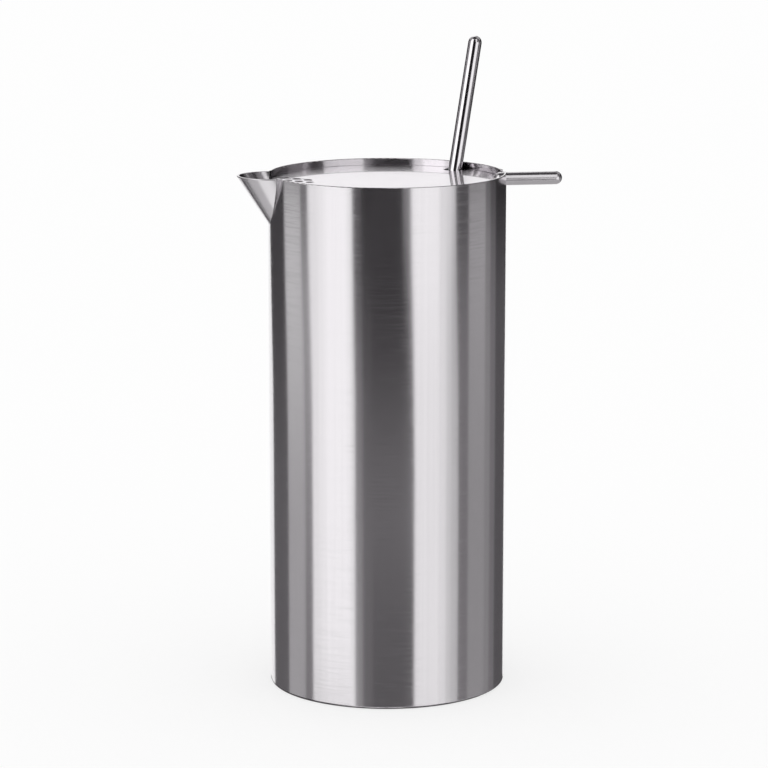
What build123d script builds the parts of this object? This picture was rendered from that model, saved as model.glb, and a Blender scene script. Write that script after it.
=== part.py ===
"""Cocktail pitcher: a steel tube with a welded spout, a strainer lid with a lever, and a long stirring spoon."""

from math import cos, degrees, hypot, radians, sin, sqrt, tan
import os

from build123d import *

# All sizes are in millimetres and angles in degrees. The pitcher stands on z = 0 around the Z axis,
# with its spout towards -X and the lever of its lid towards +X.

# Tube of the body, and the flat disc that closes it
body_diameter = 100.0
body_height = 219.0
tube_wall = 1.0
rim_round = 0.3
base_thickness = 1.5
base_edge_round = 1.0

# Spout: a half-round trough that leans out from its foot on the tube to its mouth at the rim
spout_reach = 13.5
spout_drop = 20.6
spout_mouth_radius = 14.0
spout_foot_radius = 9.0
spout_sheet = 1.0
spout_lip_round = 0.3
spout_below_rim = 0.3

# Strainer lid: a flat plate sunk into the tube
lid_recess = 3.0
lid_thickness = 1.2
lid_gap = 0.4
lid_edge_round = 0.3

# Strainer holes: staggered rows, from the row nearest to the spout inwards
hole_diameter = 3.5
hole_pitch = 8.0
hole_row_pitch = 4.2
hole_edge_margin = 7.1
holes_in_rows = (4, 3, 2)

# Lever: a round bar, domed at both ends and slotted onto the edge of the lid
lever_diameter = 5.6
lever_reach = 24.7
lever_lap = 3.1
lever_slot_gap = 0.35

# Lid rests: bent lugs spot-welded inside the tube, with the angle of each from the lever
rest_shelf = 4.0
rest_leg = 7.0
rest_sheet = 1.0
rest_width = 8.0
rest_bend_round = 0.6
rest_angles = {"lid_rest_far": 90.0, "lid_rest_spout_side": 210.0, "lid_rest_lever_side": 330.0}

# Stirring spoon: it leans on the rim through a notch in the lid
spoon_length = 278.5
spoon_diameter = 5.9
spoon_angle = 41.1
spoon_lean = 13.73
spoon_notch_width = 8.6
spoon_notch_ease = 0.8
spoon_notch_flare = 12.0
bowl_length = 34.0
bowl_width = 22.0
bowl_depth = 6.0
bowl_sheet = 1.2

# Clearances
weld_gap = 0.05
seat_gap = 0.1
spoon_gap = 0.3

# An edge round takes at most this share of the sheet that it is on
round_share = 0.4

# Places worked out from the sizes above
tube_radius = body_diameter / 2
tube_bore = tube_radius - tube_wall
rim_edge_round = min(rim_round, round_share * tube_wall)
lid_top = body_height - lid_recess
lid_bottom = lid_top - lid_thickness
lid_radius = tube_bore - lid_gap
lever_height = lid_top - lid_thickness / 2
lever_slot_width = lever_diameter + 2 * lever_slot_gap
spout_foot = body_height - spout_below_rim - spout_drop
spoon_rod_radius = spoon_diameter / 2
overshoot = 5.0


def domed_bar(length, diameter, dome_at_start):
    """Round bar along +X from the origin, with a half-ball at its far end and, if asked, at its start."""
    radius = diameter / 2
    start = radius if dome_at_start else 0.0
    outline = Polyline((length - radius, radius), (start, radius))
    outline += CenterArc((length - radius, 0), radius, 0, 90)
    if dome_at_start:
        outline += CenterArc((radius, 0), radius, 90, 90)
    else:
        outline += Line((0, radius), (0, 0))
    outline += Line((0, 0), (length, 0))
    return revolve(make_face(outline), Axis.X)


def trough(inset, lowest, highest):
    """The spout's form between two heights, with its wall moved in by a sheet thickness."""
    keel_inset = inset * hypot(1, spout_reach / spout_drop)
    sections = []
    for height in (lowest, highest):
        share = (height - spout_foot) / spout_drop
        radius = spout_foot_radius + share * (spout_mouth_radius - spout_foot_radius) - inset
        keel = tube_radius + share * spout_reach - keel_inset
        sections.append(Pos(radius - keel, 0, height) * Circle(radius))
    return loft(sections, ruled=True)


def lever_slot():
    """U-shaped opening in the rim that the lever drops into."""
    above = body_height - lever_height + overshoot
    opening = Circle(lever_slot_width / 2)
    opening += Pos(0, above / 2) * Rectangle(lever_slot_width, above)
    inside = tube_bore - overshoot
    return extrude(Plane.YZ * Pos(0, lever_height, inside) * opening, tube_wall + 2 * overshoot)


def make_body_tube():
    height = body_height - base_thickness
    wall_section = Rectangle(tube_wall, height)
    rim_corners = wall_section.vertices().group_by(Axis.Y)[-1]
    wall_section = fillet(rim_corners, rim_edge_round)
    wall_section = Pos(tube_bore + tube_wall / 2, base_thickness + height / 2) * wall_section
    tube = revolve(Plane.XZ * wall_section, Axis.Z)
    spout_opening = trough(spout_sheet, spout_foot - overshoot, body_height + overshoot)
    return tube - spout_opening - lever_slot()


def make_base_disc():
    disc = Pos(0, 0, base_thickness / 2) * Cylinder(tube_radius, base_thickness)
    lower_edge = disc.edges().sort_by(Axis.Z)[0]
    return fillet(lower_edge, min(base_edge_round, 2 * round_share * base_thickness))


def make_spout():
    mouth = spout_foot + spout_drop
    skin = trough(0, spout_foot - overshoot, mouth)
    hollow = trough(spout_sheet, spout_foot - overshoot, mouth + overshoot)
    inside_tube = Pos(0, 0, body_height / 2) * Cylinder(tube_radius + weld_gap, body_height + 2 * overshoot)
    sheet = skin - hollow - inside_tube
    mouth_face = sheet.faces().sort_by(Axis.Z)[-1]
    lip_edges = mouth_face.edges().sort_by(SortBy.LENGTH)[-2:]
    return fillet(lip_edges, min(spout_lip_round, round_share * spout_sheet))


def spoon_line():
    """Where the spoon's axis crosses the height of its tip, as a radius, with that height."""
    tip_height = base_thickness + spoon_gap
    distance = spoon_rod_radius + spoon_gap + rim_edge_round
    radius_at_rim = tube_bore + rim_edge_round - distance * cos(radians(spoon_lean))
    height_at_rim = body_height - rim_edge_round + distance * sin(radians(spoon_lean))
    return radius_at_rim - (height_at_rim - tip_height) * tan(radians(spoon_lean)), tip_height


def spoon_notch():
    """Outline of the notch about its round inner end, flared towards the edge of the lid."""
    radius = spoon_notch_width / 2
    flare = radians(spoon_notch_flare)
    start = -radius * sin(flare)
    half_start = radius * cos(flare)
    half_end = half_start + (lid_radius - start) * tan(flare)
    sides = Polyline(
        (start, half_start),
        (lid_radius, half_end),
        (lid_radius, -half_end),
        (start, -half_start),
        close=True,
    )
    return Circle(radius) + make_face(sides)


def make_strainer_lid():
    plate = Pos(0, 0, lid_top - lid_thickness / 2) * Cylinder(lid_radius, lid_thickness)
    plate = fillet(plate.edges(), min(lid_edge_round, round_share * lid_thickness))
    first_row = lid_radius - hole_edge_margin
    for row, count in enumerate(holes_in_rows):
        for hole in range(count):
            across = (hole - (count - 1) / 2) * hole_pitch
            place = Pos(row * hole_row_pitch - first_row, across, lever_height)
            plate -= place * Cylinder(hole_diameter / 2, lid_thickness + 2 * overshoot)
    tip_radius, tip_height = spoon_line()
    spoon_radius = tip_radius + (lever_height - tip_height) * tan(radians(spoon_lean))
    notch_centre = spoon_radius - spoon_notch_ease
    notch = Rot(0, 0, spoon_angle) * Pos(notch_centre, 0, lid_bottom - overshoot) * spoon_notch()
    return plate - extrude(notch, lid_thickness + 2 * overshoot)


def make_lid_lever():
    inner_end = lid_radius - lever_lap
    bar = domed_bar(tube_radius + lever_reach - inner_end, lever_diameter, True)
    lid_edge = Pos(0, 0, lever_height) * Cylinder(lid_radius + weld_gap, lid_thickness)
    return Pos(inner_end, 0, lever_height) * bar - lid_edge


def make_lid_rest(angle):
    """Bent lug: a leg against the tube and a shelf under the lid."""
    back = tube_bore - weld_gap
    shelf_top = lid_bottom - seat_gap
    outline = Polyline(
        (back, shelf_top),
        (back - rest_shelf, shelf_top),
        (back - rest_shelf, shelf_top - rest_sheet),
        (back - rest_sheet, shelf_top - rest_sheet),
        (back - rest_sheet, shelf_top - rest_leg),
        (back, shelf_top - rest_leg),
        close=True,
    )
    section = make_face(outline)
    bend = section.vertices().sort_by_distance((back - rest_sheet, shelf_top - rest_sheet))[0]
    section = fillet(bend, rest_bend_round)
    spread = degrees(rest_width / tube_bore)
    lug = revolve(Plane.XZ * section, Axis.Z, spread)
    return Rot(0, 0, angle - spread / 2) * lug


def spindle(inset):
    """Pointed round form whose side, cut off by a plane, gives the bowl of the spoon."""
    round_radius = (bowl_width**2 / 4 + bowl_depth**2) / (2 * bowl_depth)
    offset = round_radius - bowl_depth
    half_length = bowl_length / 2 / sqrt(1 - (offset / round_radius) ** 2)
    section = Ellipse(round_radius - inset, half_length - inset)
    section &= Pos(round_radius, 0) * Rectangle(2 * round_radius, 3 * half_length)
    return Pos(offset, 0, bowl_length / 2) * revolve(Plane.XZ * section, Axis.Z)


def spoon_place():
    """Moves a spoon piece, modelled upright on its tip, to where it leans in the pitcher."""
    tip_radius, tip_height = spoon_line()
    return Rot(0, 0, spoon_angle) * Pos(tip_radius, 0, tip_height) * Rot(0, spoon_lean, 0) * Rot(0, 0, 180)


def make_spoon_rod():
    start = bowl_length - bowl_depth
    bar = Pos(0, 0, start) * Rot(0, -90, 0) * domed_bar(spoon_length - start, spoon_diameter, False)
    return spoon_place() * (bar - spindle(-weld_gap))


def make_spoon_bowl():
    shell = spindle(0) - spindle(bowl_sheet)
    back = Pos(-bowl_length, 0, bowl_length / 2) * Box(2 * bowl_length, 2 * bowl_length, 2 * bowl_length)
    return spoon_place() * (shell & back)


pieces = {
    "body_tube": make_body_tube(),
    "base_disc": make_base_disc(),
    "spout": make_spout(),
    "strainer_lid": make_strainer_lid(),
    "lid_lever": make_lid_lever(),
    "spoon_rod": make_spoon_rod(),
    "spoon_bowl": make_spoon_bowl(),
}
for name, angle in rest_angles.items():
    pieces[name] = make_lid_rest(angle)

os.makedirs("parts", exist_ok=True)
for name, piece in pieces.items():
    export_step(piece, f"parts/{name}.step")
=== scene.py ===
"""Cocktail pitcher of satin stainless steel, with its strainer lid and stirring spoon, in a white studio."""

from math import cos, pi, radians, sin

import bmesh
import bpy
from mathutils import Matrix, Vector

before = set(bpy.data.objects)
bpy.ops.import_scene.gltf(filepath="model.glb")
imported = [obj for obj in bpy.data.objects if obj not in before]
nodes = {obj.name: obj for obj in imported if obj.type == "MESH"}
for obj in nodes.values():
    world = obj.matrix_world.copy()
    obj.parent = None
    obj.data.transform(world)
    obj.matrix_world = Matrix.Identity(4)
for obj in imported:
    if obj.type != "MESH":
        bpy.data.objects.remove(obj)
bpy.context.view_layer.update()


# Body tube: drawn stainless steel tube, open at the top, with a ground rim.
# It is turned against a fine abrasive belt, so its satin lines run around it.
# Inside, below the lid, it is only pickled after welding and stays dull.

mm = 0.001
tube_wall = 1.0 * mm
noise_low = 0.3
noise_high = 0.7


def reach(name, axis):
    """Lowest and highest place of a CAD node along an axis, in metres."""
    places = [vertex.co[axis] for vertex in nodes[name].data.vertices]
    return min(places), max(places)


tube_radius = reach("body_tube", 0)[1]
lid_underside = reach("strainer_lid", 2)[0]


def to_linear(hex_colour):
    """sRGB hex colour as the linear RGBA that a shader takes."""
    shares = [int(hex_colour[i:i + 2], 16) / 255 for i in (1, 3, 5)]
    return [s / 12.92 if s <= 0.04045 else ((s + 0.055) / 1.055) ** 2.4 for s in shares] + [1.0]


def add_node(tree, kind, inputs=None, **settings):
    """Adds a node with its settings. Each input is a value, or the output that is linked to it."""
    node = tree.nodes.new(kind)
    for name, value in settings.items():
        setattr(node, name, value)
    for name, value in (inputs or {}).items():
        if isinstance(value, bpy.types.NodeSocket):
            tree.links.new(value, node.inputs[name])
        else:
            node.inputs[name].default_value = value
    return node


def set_stops(ramp, stops):
    """Gives a colour ramp its stops, from a table of positions and hex colours."""
    first, *between, last = sorted(stops)
    elements = ramp.color_ramp.elements
    for element, position in zip(elements, (first, last)):
        element.position = position
        element.color = to_linear(stops[position])
    for position in between:
        elements.new(position).color = to_linear(stops[position])


def new_tree(material_name):
    """A new material with an empty node tree."""
    material = bpy.data.materials.new(material_name)
    material.use_nodes = True
    material.node_tree.nodes.clear()
    return material, material.node_tree


def cells_of(*sizes):
    """Mapping scale at which the cells of a noise have these sizes along X, Y and Z."""
    return [1 / size for size in sizes]


def belt_satin_steel():
    """Stainless steel with satin lines around Z: reflections stay crisp sideways and smear up and down.
    The deeper lines are rougher, and show as faint dashes where the steel mirrors something dark. Drawing
    the tube leaves faint streaks along it and shallow dents. Lines and streaks are a few hundredths of a
    millimetre wide on the real tube, and are drawn coarser to show. The pickled inside has a soft sheen."""
    line_length = 16.0 * mm
    line_width = 0.55 * mm
    line_depth = 0.01 * mm
    line_strength = 0.3
    shallow_line = 0.45
    deep_line = 0.75
    streak_length = 160.0 * mm
    streak_width = 0.9 * mm
    dent_width = 26.0 * mm
    dent_height = 41.6 * mm
    dent_depth = 0.05 * mm
    satin_roughness = 0.13
    deep_line_roughness = 0.205
    pickled_roughness = 0.55
    smear = 0.4
    quarter_turn = 0.25
    middle_of_wall = tube_radius - tube_wall / 2
    bright_height = lid_underside - 0.8 * mm
    dull_height = lid_underside - 8.8 * mm
    material, tree = new_tree("stainless_steel_belt_satin")
    place = add_node(tree, "ShaderNodeTexCoord").outputs["Object"]
    line_place = add_node(tree, "ShaderNodeMapping", {
        "Vector": place, "Scale": cells_of(line_length, line_length, line_width)})
    lines = add_node(tree, "ShaderNodeTexNoise", {
        "Vector": line_place.outputs["Vector"], "Scale": 1.0, "Detail": 4.0, "Roughness": 0.65})
    dent_place = add_node(tree, "ShaderNodeMapping", {
        "Vector": place, "Scale": cells_of(dent_width, dent_width, dent_height)})
    dents = add_node(tree, "ShaderNodeTexNoise", {
        "Vector": dent_place.outputs["Vector"], "Scale": 1.0, "Detail": 2.0, "Roughness": 0.5})
    streak_place = add_node(tree, "ShaderNodeMapping", {
        "Vector": place, "Scale": cells_of(streak_width, streak_width, streak_length)})
    streaks = add_node(tree, "ShaderNodeTexNoise", {
        "Vector": streak_place.outputs["Vector"], "Scale": 1.0, "Detail": 3.0, "Roughness": 0.6})
    colour = add_node(tree, "ShaderNodeValToRGB", {"Fac": streaks.outputs["Fac"]})
    set_stops(colour, {noise_low: "#DFDCDF", noise_high: "#E2DFE2"})
    satin = add_node(tree, "ShaderNodeMapRange", {
        "Value": lines.outputs["Fac"], "From Min": shallow_line, "From Max": deep_line,
        "To Min": satin_roughness, "To Max": deep_line_roughness})
    from_axis = add_node(tree, "ShaderNodeVectorMath", {0: place, 1: (1, 1, 0)}, operation="MULTIPLY")
    radius = add_node(tree, "ShaderNodeVectorMath", {0: from_axis.outputs["Vector"]}, operation="LENGTH")
    inside = add_node(tree, "ShaderNodeMath", {
        0: radius.outputs["Value"], 1: middle_of_wall}, operation="LESS_THAN")
    height = add_node(tree, "ShaderNodeSeparateXYZ", {"Vector": place})
    below_lid = add_node(tree, "ShaderNodeMapRange", {
        "Value": height.outputs["Z"], "From Min": dull_height, "From Max": bright_height,
        "To Min": 1.0, "To Max": 0.0})
    pickled = add_node(tree, "ShaderNodeMath", {
        0: inside.outputs[0], 1: below_lid.outputs["Result"]}, operation="MULTIPLY")
    roughness = add_node(tree, "ShaderNodeMapRange", {
        "Value": pickled.outputs[0], "To Min": satin.outputs["Result"], "To Max": pickled_roughness})
    waves = add_node(tree, "ShaderNodeBump", {
        "Height": dents.outputs["Fac"], "Strength": 1.0, "Distance": dent_depth})
    scratches = add_node(tree, "ShaderNodeBump", {
        "Height": lines.outputs["Fac"], "Strength": line_strength, "Distance": line_depth,
        "Normal": waves.outputs["Normal"]})
    along_lines = add_node(tree, "ShaderNodeTangent", direction_type="RADIAL", axis="Z")
    shader = add_node(tree, "ShaderNodeBsdfPrincipled", {
        "Base Color": colour.outputs["Color"], "Metallic": 1.0, "Roughness": roughness.outputs["Result"],
        "Anisotropic": smear, "Anisotropic Rotation": quarter_turn,
        "Tangent": along_lines.outputs["Tangent"],
        "Normal": scratches.outputs["Normal"]})
    add_node(tree, "ShaderNodeOutputMaterial", {"Surface": shader.outputs["BSDF"]})
    return material


def finish_nodes(material, *names):
    """Gives CAD nodes their finish."""
    for name in names:
        nodes[name].data.materials.clear()
        nodes[name].data.materials.append(material)


belt_satin = belt_satin_steel()
finish_nodes(belt_satin, "body_tube")


# Base: a flat disc of the same steel, welded under the tube and ground flush with it.
# Its edge is eased, and its face is spun against the abrasive like the tube.

finish_nodes(belt_satin, "base_disc")


# Spout: sheet steel rolled to a half-cone and welded over the opening in the tube.
# It is dressed by hand, so its satin has no clear direction.

def hand_satin_steel():
    """Stainless steel polished by hand to a soft sheen, with faint cloudy marks. The marks of the grit are
    much finer on the real spout, and are drawn coarser to show."""
    cloud_size = 9.0 * mm
    grit_size = 0.5 * mm
    grit_depth = 0.01 * mm
    grit_strength = 0.3
    bright_roughness = 0.19
    cloudy_roughness = 0.25
    material, tree = new_tree("stainless_steel_hand_satin")
    place = add_node(tree, "ShaderNodeTexCoord").outputs["Object"]
    cloud_place = add_node(tree, "ShaderNodeMapping", {
        "Vector": place, "Scale": cells_of(cloud_size, cloud_size, cloud_size)})
    clouds = add_node(tree, "ShaderNodeTexNoise", {
        "Vector": cloud_place.outputs["Vector"], "Scale": 1.0, "Detail": 3.0, "Roughness": 0.6})
    grit_place = add_node(tree, "ShaderNodeMapping", {
        "Vector": place, "Scale": cells_of(grit_size, grit_size, grit_size)})
    grit = add_node(tree, "ShaderNodeTexNoise", {
        "Vector": grit_place.outputs["Vector"], "Scale": 1.0, "Detail": 2.0, "Roughness": 0.5})
    colour = add_node(tree, "ShaderNodeValToRGB", {"Fac": clouds.outputs["Fac"]})
    set_stops(colour, {noise_low: "#DCD9DC", noise_high: "#E4E1E4"})
    roughness = add_node(tree, "ShaderNodeMapRange", {
        "Value": clouds.outputs["Fac"], "From Min": noise_low, "From Max": noise_high,
        "To Min": bright_roughness, "To Max": cloudy_roughness})
    bump = add_node(tree, "ShaderNodeBump", {
        "Height": grit.outputs["Fac"], "Strength": grit_strength, "Distance": grit_depth})
    shader = add_node(tree, "ShaderNodeBsdfPrincipled", {
        "Base Color": colour.outputs["Color"], "Metallic": 1.0, "Roughness": roughness.outputs["Result"],
        "Normal": bump.outputs["Normal"]})
    add_node(tree, "ShaderNodeOutputMaterial", {"Surface": shader.outputs["BSDF"]})
    return material


hand_satin = hand_satin_steel()
finish_nodes(hand_satin, "spout")


# Lid rests: three small lugs of the same steel, bent from strip.
# They are spot-welded inside the tube and carry the lid just under the rim.

finish_nodes(hand_satin, "lid_rest_far", "lid_rest_spout_side", "lid_rest_lever_side")


# Strainer lid: a flat disc stamped from stainless sheet, with a patch of punched holes by the spout and
# a notch for the spoon. It lies loose on its rests. Its face is buffed, and shows a clear mirror image
# under a light haze.

lid_radius = reach("strainer_lid", 1)[1]


def buffed_sheet_steel():
    """Stainless sheet buffed bright: mirror steel between fine scratches, which spread part of the light.
    The scratches are far finer on the real lid, and are drawn coarser so that they hold in the picture.
    Punching draws the sheet down a little at each hole, so the patch of holes glints."""
    scratch_size = 0.25 * mm
    scratch_start = 0.50
    scratch_full = 0.56
    mirror_roughness = 0.03
    scratch_roughness = 0.36
    cloud_size = 14.0 * mm
    hole_pitch = 8.0 * mm
    row_pitch = 4.2 * mm
    hole_edge_margin = 7.1 * mm
    first_row = hole_edge_margin - lid_radius
    middle_row = first_row + row_pitch
    patch_half_length = 6.3 * mm
    patch_half_width = 10.0 * mm
    patch_narrowing = hole_pitch / 2 / row_pitch
    patch_fade_start = 0.9
    patch_fade_end = 1.1
    dimple_depth = 0.12 * mm
    material, tree = new_tree("stainless_steel_buffed_sheet")
    place = add_node(tree, "ShaderNodeTexCoord").outputs["Object"]
    scratch_place = add_node(tree, "ShaderNodeMapping", {
        "Vector": place, "Scale": cells_of(scratch_size, scratch_size, scratch_size)})
    scratches = add_node(tree, "ShaderNodeTexNoise", {
        "Vector": scratch_place.outputs["Vector"], "Scale": 1.0, "Detail": 1.0, "Roughness": 0.5})
    cloud_place = add_node(tree, "ShaderNodeMapping", {
        "Vector": place, "Scale": cells_of(cloud_size, cloud_size, cloud_size)})
    clouds = add_node(tree, "ShaderNodeTexNoise", {
        "Vector": cloud_place.outputs["Vector"], "Scale": 1.0, "Detail": 4.0, "Roughness": 0.6})
    colour = add_node(tree, "ShaderNodeValToRGB", {"Fac": clouds.outputs["Fac"]})
    set_stops(colour, {noise_low: "#EEE9EE", noise_high: "#F3EEF3"})
    roughness = add_node(tree, "ShaderNodeMapRange", {
        "Value": scratches.outputs["Fac"], "From Min": scratch_start, "From Max": scratch_full,
        "To Min": mirror_roughness, "To Max": scratch_roughness})

    # A wave along the rows times one across them peaks at each hole of the staggered patch
    on_lid = add_node(tree, "ShaderNodeSeparateXYZ", {"Vector": place})
    along = add_node(tree, "ShaderNodeMapRange", {
        "Value": on_lid.outputs["X"], "From Min": first_row, "From Max": middle_row,
        "To Min": 0.0, "To Max": pi}, clamp=False)
    across = add_node(tree, "ShaderNodeMapRange", {
        "Value": on_lid.outputs["Y"], "From Min": -hole_pitch / 2, "From Max": hole_pitch / 2,
        "To Min": 0.0, "To Max": 2 * pi}, clamp=False)
    along_wave = add_node(tree, "ShaderNodeMath", {0: along.outputs["Result"]}, operation="COSINE")
    across_wave = add_node(tree, "ShaderNodeMath", {0: across.outputs["Result"]}, operation="COSINE")
    wave = add_node(tree, "ShaderNodeMath", {
        0: along_wave.outputs[0], 1: across_wave.outputs[0]}, operation="MULTIPLY")

    # The wave fades out at the ends of the patch and at its sides, which close in from row to row
    from_middle = add_node(tree, "ShaderNodeMath", {
        0: on_lid.outputs["X"], 1: middle_row}, operation="SUBTRACT")
    to_end = add_node(tree, "ShaderNodeMath", {0: from_middle.outputs[0]}, operation="ABSOLUTE")
    end_share = add_node(tree, "ShaderNodeMath", {
        0: to_end.outputs[0], 1: patch_half_length}, operation="DIVIDE")
    from_centre_line = add_node(tree, "ShaderNodeMath", {0: on_lid.outputs["Y"]}, operation="ABSOLUTE")
    to_side = add_node(tree, "ShaderNodeMath", {
        0: from_middle.outputs[0], 1: patch_narrowing, 2: from_centre_line.outputs[0]},
        operation="MULTIPLY_ADD")
    side_share = add_node(tree, "ShaderNodeMath", {
        0: to_side.outputs[0], 1: patch_half_width}, operation="DIVIDE")
    edge_share = add_node(tree, "ShaderNodeMath", {
        0: end_share.outputs[0], 1: side_share.outputs[0]}, operation="MAXIMUM")
    patch = add_node(tree, "ShaderNodeMapRange", {
        "Value": edge_share.outputs[0], "From Min": patch_fade_start, "From Max": patch_fade_end,
        "To Min": -1.0, "To Max": 0.0})
    dimples = add_node(tree, "ShaderNodeMath", {
        0: wave.outputs[0], 1: patch.outputs["Result"]}, operation="MULTIPLY")
    bump = add_node(tree, "ShaderNodeBump", {
        "Height": dimples.outputs[0], "Strength": 1.0, "Distance": dimple_depth})
    shader = add_node(tree, "ShaderNodeBsdfPrincipled", {
        "Base Color": colour.outputs["Color"], "Metallic": 1.0, "Roughness": roughness.outputs["Result"],
        "Normal": bump.outputs["Normal"]})
    add_node(tree, "ShaderNodeOutputMaterial", {"Surface": shader.outputs["BSDF"]})
    return material


finish_nodes(buffed_sheet_steel(), "strainer_lid")


# Lever: a length of round stainless bar with domed ends, slotted onto the edge of the lid and welded there.
# It is a drawn bar, dulled a little by handling.

def drawn_bar_steel(name, dull_colour, bright_colour, low_roughness, high_roughness):
    """Stainless bar drawn and polished, with a faint haze that varies over the piece."""
    haze_size = 14.0 * mm
    material, tree = new_tree(name)
    place = add_node(tree, "ShaderNodeTexCoord").outputs["Object"]
    haze_place = add_node(tree, "ShaderNodeMapping", {
        "Vector": place, "Scale": cells_of(haze_size, haze_size, haze_size)})
    haze = add_node(tree, "ShaderNodeTexNoise", {
        "Vector": haze_place.outputs["Vector"], "Scale": 1.0, "Detail": 4.0, "Roughness": 0.6})
    colour = add_node(tree, "ShaderNodeValToRGB", {"Fac": haze.outputs["Fac"]})
    set_stops(colour, {noise_low: dull_colour, noise_high: bright_colour})
    roughness = add_node(tree, "ShaderNodeMapRange", {
        "Value": haze.outputs["Fac"], "From Min": noise_low, "From Max": noise_high,
        "To Min": low_roughness, "To Max": high_roughness})
    shader = add_node(tree, "ShaderNodeBsdfPrincipled", {
        "Base Color": colour.outputs["Color"], "Metallic": 1.0, "Roughness": roughness.outputs["Result"]})
    add_node(tree, "ShaderNodeOutputMaterial", {"Surface": shader.outputs["BSDF"]})
    return material


lever_steel = drawn_bar_steel(
    "stainless_steel_satin_bar", dull_colour="#E2DFE2", bright_colour="#E8E5E8",
    low_roughness=0.16, high_roughness=0.22)
finish_nodes(lever_steel, "lid_lever")


# Spoon: a long round stainless bar with a domed top, and a pressed bowl welded to its lower end.
# It is polished brighter than the lever, so its reflections are narrow and clear.

spoon_steel = drawn_bar_steel(
    "stainless_steel_polished_bar", dull_colour="#EEEBEE", bright_colour="#F4F1F4",
    low_roughness=0.06, high_roughness=0.10)
finish_nodes(spoon_steel, "spoon_rod", "spoon_bowl")


# Studio cards: upright boards in a ring around the pitcher, painted matt grey with a faint violet cast.
# Two soft boxes stand among them. The polished steel shows them all as bands, and only reflections see them.
# An azimuth is in degrees to the right of the camera, and a height in metres above the floor.

camera_azimuth = radians(8.36)
towards_camera = Vector((-sin(camera_azimuth), -cos(camera_azimuth), 0))
camera_right = Vector((cos(camera_azimuth), -sin(camera_azimuth), 0))
card_distance = 1.5
low_card_distance = 1.425
wide_card_distance = 1.53
box_distance = 1.47
box_panel_distance = 1.45
card_foot = -0.75
card_top = 2.6
camera_card_top = 0.66
lean_foot = -0.16
lean_top = 0.02


def stage_piece(name, mesh, material):
    """A studio piece, which is no part of the pitcher."""
    data = bpy.data.meshes.new(name)
    mesh.to_mesh(data)
    mesh.free()
    data.materials.append(material)
    piece = bpy.data.objects.new(name, data)
    bpy.context.scene.collection.objects.link(piece)
    return piece


def reflected_piece(name, mesh, material):
    """A studio piece that is seen in reflections only."""
    piece = stage_piece(name, mesh, material)
    piece.visible_camera = False
    piece.visible_diffuse = False
    piece.visible_shadow = False


def plain_paint(name, colour):
    """Matt paint of one shade."""
    material, tree = new_tree(name)
    paint = add_node(tree, "ShaderNodeBsdfDiffuse", {"Color": to_linear(colour)})
    add_node(tree, "ShaderNodeOutputMaterial", {"Surface": paint.outputs["BSDF"]})
    return material


def graded_paint(name, shades):
    """Matt paint whose shade changes with height, from a table of heights and colours."""
    material, tree = new_tree(name)
    lowest = min(shades)
    highest = max(shades)
    place = add_node(tree, "ShaderNodeTexCoord").outputs["Object"]
    height = add_node(tree, "ShaderNodeSeparateXYZ", {"Vector": place})
    share = add_node(tree, "ShaderNodeMapRange", {
        "Value": height.outputs["Z"], "From Min": lowest, "From Max": highest})
    colour = add_node(tree, "ShaderNodeValToRGB", {"Fac": share.outputs["Result"]})
    set_stops(colour, {(step - lowest) / (highest - lowest): shade for step, shade in shades.items()})
    paint = add_node(tree, "ShaderNodeBsdfDiffuse", {"Color": colour.outputs["Color"]})
    add_node(tree, "ShaderNodeOutputMaterial", {"Surface": paint.outputs["BSDF"]})
    return material


def soft_light(name, strength):
    """Even white glow of a soft box's cloth."""
    material, tree = new_tree(name)
    glow = add_node(tree, "ShaderNodeEmission", {"Color": to_linear("#FFFFFF"), "Strength": strength})
    add_node(tree, "ShaderNodeOutputMaterial", {"Surface": glow.outputs["Emission"]})
    material.cycles.emission_sampling = "NONE"
    return material


def around(azimuth, distance):
    """The point at an azimuth and at a distance from the pitcher's axis."""
    return distance * (cos(radians(azimuth)) * towards_camera + sin(radians(azimuth)) * camera_right)


def arc_of_vertices(mesh, first, last, distance, height, steps):
    """Vertices along a level arc between two azimuths."""
    row = [around(first + (last - first) * step / steps, distance) for step in range(steps + 1)]
    return [mesh.verts.new((point.x, point.y, height)) for point in row]


def studio_card(name, left, right, material, distance=card_distance, foot=card_foot, top=card_top):
    """A curved upright card around the pitcher. Each edge is given by its azimuths at the foot and the top,
    and leans over between the heights that the middle of the tube and its rim reflect."""
    steps = 16
    share = {foot: 0.0, lean_foot: 0.0, lean_top: 1.0, top: 1.0}
    mesh = bmesh.new()
    rows = []
    for height in sorted(height for height in share if foot <= height <= top):
        first, last = [low + (high - low) * share[height] for low, high in (left, right)]
        rows.append(arc_of_vertices(mesh, first, last, distance, height, steps))
    for lower, upper in zip(rows, rows[1:]):
        for step in range(steps):
            mesh.faces.new((lower[step], lower[step + 1], upper[step + 1], upper[step]))
    reflected_piece(name, mesh, material)


def card_run(left, cards, **heights):
    """Graded cards side by side, from a left edge on. Each has its name, its right edge and its shades."""
    for name, right, shades in cards:
        studio_card(name, left, right, graded_paint(name + "_paint", shades), **heights)
        left = right


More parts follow.
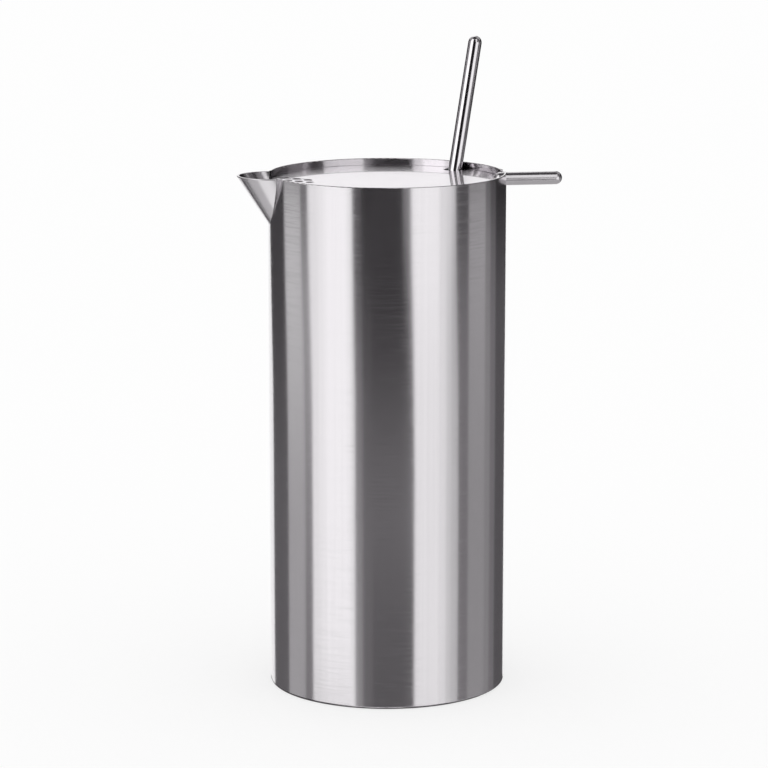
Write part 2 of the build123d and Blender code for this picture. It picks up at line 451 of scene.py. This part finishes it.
card_run((-146, -157), [
    ("card_back_left", (-111.5, -117.5), {
        -0.25: "#686668", -0.08: "#4C4A4C", 0.25: "#383638", 0.8: "#383638", 1.1: "#A9A8A9"}),
    ("card_left", (-86, -91.5), {
        -0.25: "#B1B0B1", -0.08: "#D4D4D4", 0.02: "#DADADA", 0.05: "#525052", 0.42: "#424042",
        0.5: "#8E8C8E"}),
    ("card_left_edge", (-76.5, -82), {
        -0.35: "#868486", -0.06: "#A9A8A9", 0.06: "#525052", 0.25: "#424042"}),
])
studio_card("card_left_low", (-90, -90), (-36, -36), plain_paint("card_left_low_paint", "#323032"),
            distance=low_card_distance, top=-0.46)
card_run((-30.5, -33.5), [
    ("card_camera_edge", (-23, -25), {
        -0.335: "#979697", -0.16: "#8C8A8C", -0.075: "#626062", 0.03: "#4C4A4C"}),
], top=0.25)
card_run((-23, -25), [
    ("card_camera_side", (-14, -15), {
        -0.335: "#6E6C6E", -0.25: "#7E7C7E", -0.075: "#444244", 0.05: "#323032", 0.3: "#1E1C1E"}),
    ("card_camera", (24.6, 14), {
        -0.335: "#5E5C5E", -0.25: "#868486", -0.16: "#5C5A5C", -0.075: "#2C2A2C", -0.01: "#464446",
        0.3: "#1E1C1E"}),
    ("card_camera_fade", (26, 21.5), {
        -0.16: "#727072", -0.05: "#848284", 0.02: "#999899", 0.25: "#6A686A"}),
], top=camera_card_top)
card_run((-28, -28), [
    ("card_camera_top", (18.5, 18.5), {
        camera_card_top: "#1E1C1E", 1.7: "#1E1C1E", card_top: "#626062"}),
], foot=camera_card_top)
studio_card("card_camera_wide", (-27, -27), (24, 24), plain_paint("card_camera_wide_paint", "#323032"),
            distance=wide_card_distance, foot=0.36, top=camera_card_top)
studio_card("card_right_high", (36, 36), (51, 51), plain_paint("card_right_high_paint", "#7E7C7E"),
            foot=0.78, top=1.6)
card_run((51, 51), [
    ("card_right_white", (58.5, 57.5), {
        0.75: "#F8F8F8", 0.8: "#7E7C7E"}),
    ("card_right_pale", (64, 63), {
        -0.05: "#E0E0E0", 0.02: "#F8F8F8", 0.75: "#F0F0F0", 0.8: "#7E7C7E"}),
    ("card_right_grey", (72.3, 67.6), {
        -0.16: "#D2D2D2", -0.05: "#BDBCBD", 0.02: "#E8E8E8", 0.75: "#F0F0F0", 0.8: "#7E7C7E"}),
    ("card_right_edge", (84.5, 84), {
        -0.08: "#807E80", 0.04: "#2A282A", 0.1: "#7A787A", 0.25: "#7A787A", 0.33: "#323032"}),
    ("card_right", (108.5, 108.5), {
        -0.25: "#9C9B9C", -0.08: "#A9A8A9", 0.02: "#B9B8B9", 0.06: "#3A383A", 0.1: "#4A484A",
        0.16: "#7A787A", 0.4: "#7A787A", 0.8: "#424042", 1.1: "#6E6C6E"}),
    ("card_right_dim", (118.5, 117), {
        -0.01: "#919091", 0.05: "#3A383A", 0.1: "#6E6C6E", 0.4: "#6E6C6E", 0.8: "#3A383A", 1.1: "#A9A8A9"}),
    ("card_right_dark", (129.5, 128), {
        -0.08: "#7C7A7C", -0.01: "#6E6C6E", 0.05: "#323032", 0.8: "#323032", 1.1: "#A9A8A9"}),
    ("card_back_right", (165, 172), {
        -0.08: "#5C5A5C", 0.05: "#1A181A", 0.8: "#1A181A", 1.1: "#A9A8A9"}),
])
studio_card("soft_box", (-61, -61), (-34.5, -37), soft_light("soft_box_light", strength=1.17),
            distance=box_distance)
studio_card("soft_box_panel", (-61, -61), (-37, -37), soft_light("soft_box_panel_light", strength=1.5),
            distance=box_panel_distance, foot=0.3, top=0.9)
studio_card("soft_box_edge", (-68, -68), (-61, -61), soft_light("soft_box_edge_light", strength=1.08),
            distance=box_distance)
studio_card("soft_box_right", (27, 23), (50, 50), soft_light("soft_box_right_light", strength=1.12),
            distance=box_distance, foot=-0.08, top=0.15)


# Tables and ceiling: level boards of the same matt paint, below and above the pitcher.
# The steel mirrors the tables towards its foot and at the spout, and the ceiling along the tops of the bars.
# The dark disc just under the foot is no table but painted shadow: the eased edge of the base mirrors it as
# a dark contact line.

table_height = -0.55
table_middle = 0.02
table_bend = 0.92
ceiling_height = 2.4
ceiling_radius = 1.3
# The disc under the foot is painted shadow. It lies just below the floor and reaches a little past the tube.
foot_board_height = -0.5 * mm
foot_board_middle = 2.0 * mm
foot_board_radius = tube_radius + 1.5 * mm


def level_board(name, first, last, height, inner, outer, colour):
    """A level sector of a ring about the pitcher's axis, between two azimuths and two radii."""
    steps = 24
    mesh = bmesh.new()
    near, far = [arc_of_vertices(mesh, first, last, radius, height, steps) for radius in (inner, outer)]
    for step in range(steps):
        mesh.faces.new((near[step], far[step], far[step + 1], near[step + 1]))
    reflected_piece(name, mesh, plain_paint(name + "_paint", colour))


level_board("table_back_left", -180, -130, table_height, table_middle, card_distance, "#525052")
level_board("table_left_dim", -130, -117, table_height, table_middle, card_distance, "#999899")
level_board("table_left", -117, -55, table_height, table_middle, table_bend, "#CDCCCD")
level_board("table_left_far", -117, -36, table_height, table_bend, card_distance, "#323032")
level_board("table_right", 17, 180, table_height, table_middle, card_distance, "#B5B4B5")
# Painted shadow: this dark disc under the foot stands in for the contact shade there, and the base's eased
# edge mirrors it as a dark line.
level_board(
    "foot_shadow_board", -180, 180, foot_board_height, foot_board_middle, foot_board_radius, "#525052")
level_board("card_ceiling", -180, 180, ceiling_height, table_middle, ceiling_radius, "#484648")


# Floor: a large board painted matt white, which takes the pitcher's soft shadow.
# Where it is seen, part of its white is a glow of its own, so that it comes out as white as the background.

floor_reach = 9.0
floor_glow_share = 0.65
floor_white, floor_tree = new_tree("white_matt_floor")
matt = add_node(floor_tree, "ShaderNodeBsdfDiffuse", {"Color": to_linear("#FBFBFB")})
glow = add_node(floor_tree, "ShaderNodeEmission", {"Color": to_linear("#FFFFFF"), "Strength": 1.0})
ray = add_node(floor_tree, "ShaderNodeLightPath")
direct_or_mirrored = add_node(floor_tree, "ShaderNodeMath", {
    0: ray.outputs["Is Camera Ray"], 1: ray.outputs["Is Glossy Ray"]}, operation="MAXIMUM")
seen = add_node(floor_tree, "ShaderNodeMath", {
    0: direct_or_mirrored.outputs[0], 1: ray.outputs["Is Transmission Ray"]}, operation="MAXIMUM")
share = add_node(floor_tree, "ShaderNodeMath", {
    0: seen.outputs[0], 1: floor_glow_share}, operation="MULTIPLY")
white = add_node(floor_tree, "ShaderNodeMixShader", {
    0: share.outputs[0], 1: matt.outputs["BSDF"], 2: glow.outputs["Emission"]})
add_node(floor_tree, "ShaderNodeOutputMaterial", {"Surface": white.outputs["Shader"]})
floor_mesh = bmesh.new()
bmesh.ops.create_grid(floor_mesh, x_segments=1, y_segments=1, size=floor_reach)
floor = stage_piece("floor", floor_mesh, floor_white)
floor.visible_glossy = False


# Sky: an even white light from all sides, at a plain level.
# It is also the white background, and shows in the steel where no card stands.

world = bpy.data.worlds.new("white_sky")
bpy.context.scene.world = world
world.use_nodes = True
world.node_tree.nodes.clear()
sky = add_node(world.node_tree, "ShaderNodeBackground", {"Color": to_linear("#FFFFFF"), "Strength": 1.0})
add_node(world.node_tree, "ShaderNodeOutputWorld", {"Surface": sky.outputs["Background"]})


# Camera: a long lens a little above the pitcher, which looks down onto its lid.
# It is aimed just left of the pitcher's axis, without shift.

camera_elevation = radians(10.93)
camera_distance = 1.4
aim_height = 0.1286
aim_to_right = -1.3 * mm
lens_length = 154.6
sensor_width = 36.0
up = Vector((0, 0, 1))
aim = aim_to_right * camera_right + aim_height * up
place = aim + camera_distance * (cos(camera_elevation) * towards_camera + sin(camera_elevation) * up)
camera_data = bpy.data.cameras.new("camera")
camera_data.sensor_width = sensor_width
camera_data.lens = lens_length
camera = bpy.data.objects.new("camera", camera_data)
camera.location = place
camera.rotation_euler = (aim - place).to_track_quat("-Z", "Y").to_euler()
bpy.context.scene.collection.objects.link(camera)
bpy.context.scene.camera = camera
bpy.context.scene.view_settings.view_transform = "Standard"
